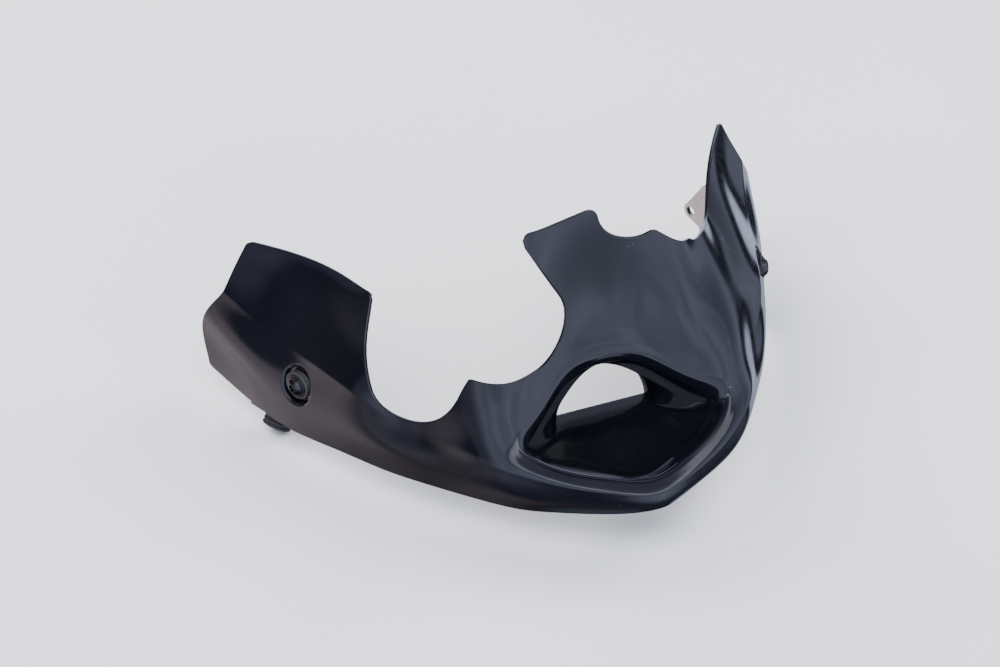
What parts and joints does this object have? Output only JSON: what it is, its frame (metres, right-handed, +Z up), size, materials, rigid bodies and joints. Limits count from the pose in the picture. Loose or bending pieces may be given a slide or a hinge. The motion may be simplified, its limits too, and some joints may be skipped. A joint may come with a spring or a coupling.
{
  "type": "motorcycle belly pan",
  "caption": "Bow-shaped motorcycle belly pan in gloss black plastic, with a scoop mouth and inner air duct, cut-outs for engine covers, rubber-mounted side screws and brackets",
  "frame": {"origin": "on the centre plane, in the middle of the pan's length, at the height of the lowest edge of the lower bobbins", "axes": "+X to the rider's left, +Y rearwards, +Z up as the pan is carried on the motorcycle"},
  "size_m": [0.4, 0.3034, 0.2135],
  "materials": {
    "gloss_shell": "high-gloss black with a blue tint, lacquered, with faint polishing swirls and dust",
    "gloss_duct": "smooth black moulded plastic, slightly duller than the shell",
    "rubber": "matt black rubber",
    "sleeve_steel": "zinc-plated steel, turned",
    "washer_steel": "zinc-plated steel washer",
    "screw_steel": "dark zinc-plated button head screw and flange nut",
    "bracket_aluminium": "bare brushed aluminium sheet"
  },
  "bodies": {
    "root": {"shell": "gloss_shell", "intake_duct": "gloss_duct", "side_grommet_left": "rubber", "side_grommet_right": "rubber", "side_sleeve_left": "sleeve_steel", "side_sleeve_right": "sleeve_steel", "side_washer_left": "washer_steel", "side_washer_right": "washer_steel", "side_screw_left": "screw_steel", "side_screw_right": "screw_steel", "side_nut_left": "screw_steel", "side_nut_right": "screw_steel", "bracket_left": "bracket_aluminium", "bracket_right": "bracket_aluminium", "lower_bobbin_left": "rubber", "lower_bobbin_right": "rubber", "lower_sleeve_left": "sleeve_steel", "lower_sleeve_right": "sleeve_steel"}
  },
  "joints": []
}
